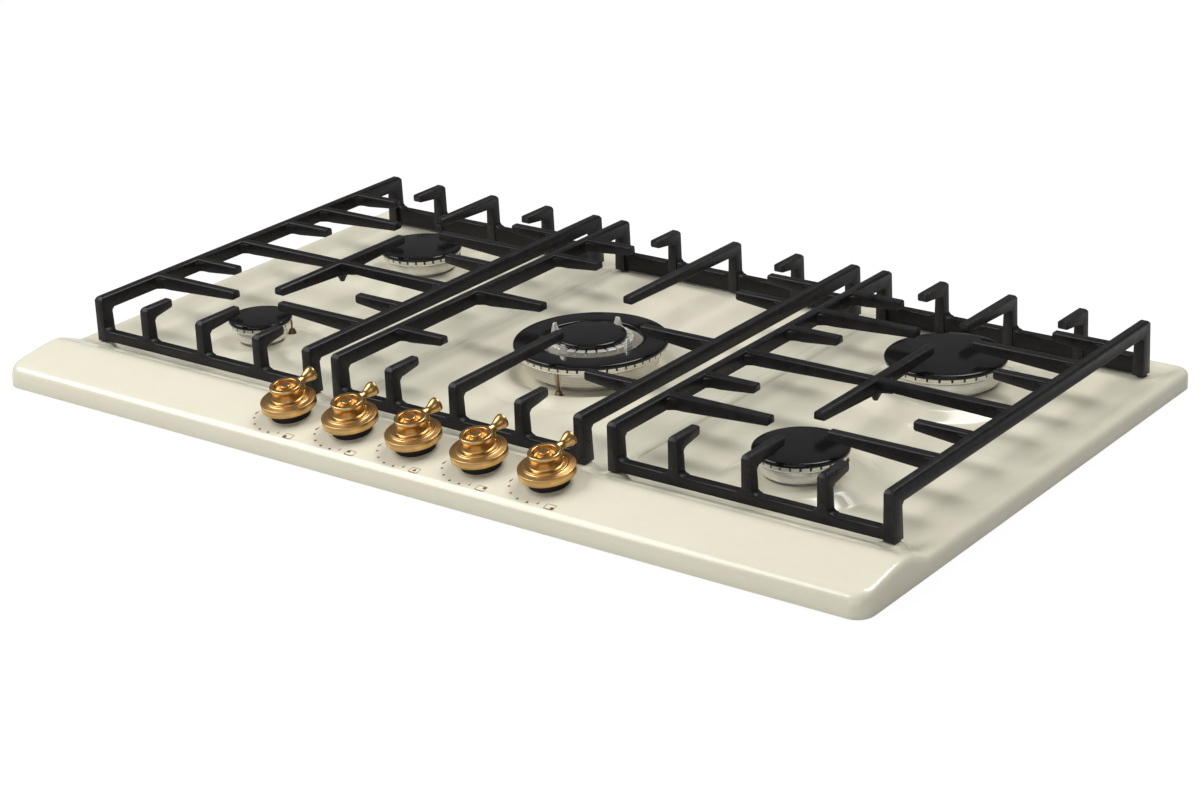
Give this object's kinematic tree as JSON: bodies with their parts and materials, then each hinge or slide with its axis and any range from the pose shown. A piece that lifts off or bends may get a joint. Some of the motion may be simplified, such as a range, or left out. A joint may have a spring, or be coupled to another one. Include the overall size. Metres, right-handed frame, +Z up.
{
  "type": "gas cooktop",
  "caption": "Built-in gas cooktop with a pressed enamel top, cast lift-off pan supports, capped burners and push-and-turn lever knobs on a sloping front panel.",
  "frame": {"origin": "centre of the worktop cut-out, on the worktop's upper surface, where the seal rests", "axes": "+X to the user's right along the long side, +Y to the back, +Z up"},
  "size_m": [0.86, 0.51, 0.104],
  "materials": {
    "cream_enamel": "gloss",
    "cast_iron": "satin",
    "black_enamel": "gloss",
    "burner_alloy": "satin",
    "cast_aluminium": "cast",
    "knob_brass": "brushed",
    "plated_steel": "plated",
    "galvanised_steel": "galvanised",
    "black_rubber": "matte",
    "plain_brass": "machined",
    "white_ceramic": "glazed ceramic",
    "sensor_copper": "satin",
    "black_plastic": "matte",
    "white_plastic": "matte"
  },
  "bodies": {
    "hob": {"top_tray": "cream_enamel", "rim_seal": "black_rubber", "under_box": "galvanised_steel", "left_front_cup": "cast_aluminium", "left_rear_cup": "cast_aluminium", "wok_cup": "cast_aluminium", "right_rear_cup": "cast_aluminium", "right_front_cup": "cast_aluminium", "left_front_crown": "burner_alloy", "left_rear_crown": "burner_alloy", "wok_crown": "burner_alloy", "right_rear_crown": "burner_alloy", "right_front_crown": "burner_alloy", "left_front_cap": "black_enamel", "left_rear_cap": "black_enamel", "wok_ring_cap": "black_enamel", "right_rear_cap": "black_enamel", "right_front_cap": "black_enamel", "wok_inner_crown": "burner_alloy", "wok_inner_cap": "black_enamel", "burner_gaskets": "black_rubber", "burner_screws": "plated_steel", "injectors": "plain_brass", "spark_plugs": "white_ceramic", "flame_sensors": "sensor_copper", "knob_seals": "black_rubber", "gas_taps": "cast_aluminium", "tap_screws": "plated_steel", "gas_rail": "galvanised_steel", "rail_brackets": "galvanised_steel", "supply_pipes": "galvanised_steel", "pipe_nuts": "plain_brass", "gas_inlet": "plain_brass", "ignition_module": "black_plastic", "terminal_block": "white_plastic", "cable_gland": "black_plastic", "worktop_clamps": "galvanised_steel", "clamp_screws": "plated_steel", "box_screws": "plated_steel"},
    "left_support": {"left_grate": "cast_iron", "left_grate_feet": "black_rubber"},
    "centre_support": {"centre_grate": "cast_iron", "centre_grate_feet": "black_rubber"},
    "right_support": {"right_grate": "cast_iron", "right_grate_feet": "black_rubber"},
    "left_front_push": {"left_front_plunger": "plated_steel"},
    "left_front_turn": {"left_front_knob": "knob_brass", "left_front_spindle": "plated_steel"},
    "left_rear_push": {"left_rear_plunger": "plated_steel"},
    "left_rear_turn": {"left_rear_knob": "knob_brass", "left_rear_spindle": "plated_steel"},
    "wok_push": {"wok_plunger": "plated_steel"},
    "wok_turn": {"wok_knob": "knob_brass", "wok_spindle": "plated_steel"},
    "right_rear_push": {"right_rear_plunger": "plated_steel"},
    "right_rear_turn": {"right_rear_knob": "knob_brass", "right_rear_spindle": "plated_steel"},
    "right_front_push": {"right_front_plunger": "plated_steel"},
    "right_front_turn": {"right_front_knob": "knob_brass", "right_front_spindle": "plated_steel"}
  },
  "joints": [
    {"name": "left_support_lift", "type": "slide", "parent": "hob", "child": "left_support", "axis": [0, 0, 1], "range_m": [0, 0.12]},
    {"name": "centre_support_lift", "type": "slide", "parent": "hob", "child": "centre_support", "axis": [0, 0, 1], "range_m": [0, 0.12]},
    {"name": "right_support_lift", "type": "slide", "parent": "hob", "child": "right_support", "axis": [0, 0, 1], "range_m": [0, 0.12]},
    {"name": "left_front_knob_push", "type": "slide", "parent": "hob", "child": "left_front_push", "axis": [0, 0.1564, -0.9877], "range_m": [0, 0.0035], "stiffness_N_per_m": 3500, "springref_m": -0.002},
    {"name": "left_front_knob_turn", "type": "hinge", "parent": "left_front_push", "child": "left_front_turn", "pos_m": [-0.131, -0.217, 0.02309], "axis": [0, -0.1564, 0.9877], "range_deg": [0, 205]},
    {"name": "left_rear_knob_push", "type": "slide", "parent": "hob", "child": "left_rear_push", "axis": [0, 0.1564, -0.9877], "range_m": [0, 0.0035], "stiffness_N_per_m": 3500, "springref_m": -0.002},
    {"name": "left_rear_knob_turn", "type": "hinge", "parent": "left_rear_push", "child": "left_rear_turn", "pos_m": [-0.0655, -0.217, 0.02309], "axis": [0, -0.1564, 0.9877], "range_deg": [0, 205]},
    {"name": "wok_knob_push", "type": "slide", "parent": "hob", "child": "wok_push", "axis": [0, 0.1564, -0.9877], "range_m": [0, 0.0035], "stiffness_N_per_m": 3500, "springref_m": -0.002},
    {"name": "wok_knob_turn", "type": "hinge", "parent": "wok_push", "child": "wok_turn", "pos_m": [0, -0.217, 0.02309], "axis": [0, -0.1564, 0.9877], "range_deg": [0, 205]},
    {"name": "right_rear_knob_push", "type": "slide", "parent": "hob", "child": "right_rear_push", "axis": [0, 0.1564, -0.9877], "range_m": [0, 0.0035], "stiffness_N_per_m": 3500, "springref_m": -0.002},
    {"name": "right_rear_knob_turn", "type": "hinge", "parent": "right_rear_push", "child": "right_rear_turn", "pos_m": [0.0655, -0.217, 0.02309], "axis": [0, -0.1564, 0.9877], "range_deg": [0, 205]},
    {"name": "right_front_knob_push", "type": "slide", "parent": "hob", "child": "right_front_push", "axis": [0, 0.1564, -0.9877], "range_m": [0, 0.0035], "stiffness_N_per_m": 3500, "springref_m": -0.002},
    {"name": "right_front_knob_turn", "type": "hinge", "parent": "right_front_push", "child": "right_front_turn", "pos_m": [0.131, -0.217, 0.02309], "axis": [0, -0.1564, 0.9877], "range_deg": [0, 205]}
  ]
}
